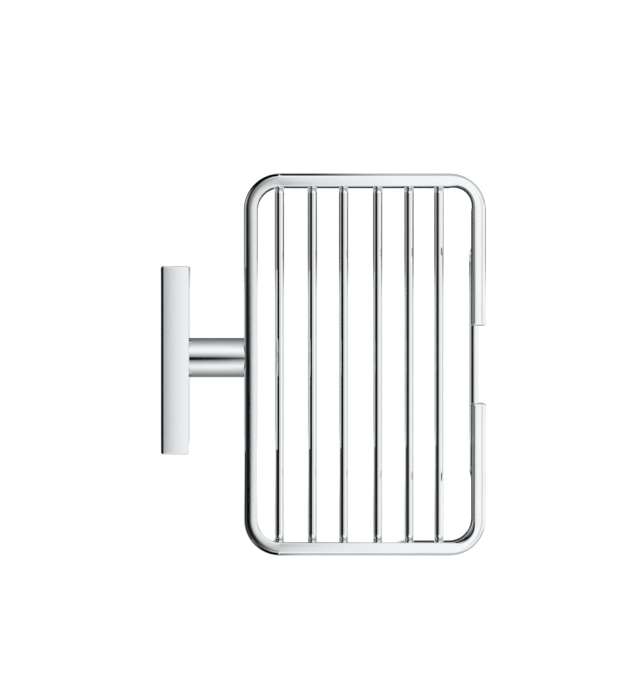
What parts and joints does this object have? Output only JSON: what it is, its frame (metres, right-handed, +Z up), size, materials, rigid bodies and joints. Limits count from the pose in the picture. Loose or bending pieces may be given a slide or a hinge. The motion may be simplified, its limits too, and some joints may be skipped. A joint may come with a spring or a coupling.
{
  "type": "wall-mounted soap basket",
  "caption": "Open wire soap basket in polished chrome: a rounded flat-bar frame with hanging floor rods, held off the wall by a round post on a slim cover bar",
  "frame": {"origin": "On the wall plane, in the middle of the cover's length and height", "axes": "+X points out from the wall, +Y along the wall and along the basket's length, +Z up"},
  "size_m": [0.1361, 0.16, 0.031],
  "materials": {
    "chrome": "polished",
    "zinc": "dull zinc",
    "screw_steel": "bright steel"
  },
  "bodies": {
    "root": {"frame_bar": "chrome", "floor_rod_1": "chrome", "floor_rod_2": "chrome", "floor_rod_3": "chrome", "floor_rod_4": "chrome", "floor_rod_5": "chrome", "floor_rod_6": "chrome", "front_rod": "chrome", "post": "chrome", "wall_cover": "chrome", "wall_bracket": "zinc", "grub_screw_left": "screw_steel", "grub_screw_right": "screw_steel", "post_bolt": "screw_steel", "spring_washer": "screw_steel", "frame_stud": "screw_steel"}
  },
  "joints": []
}
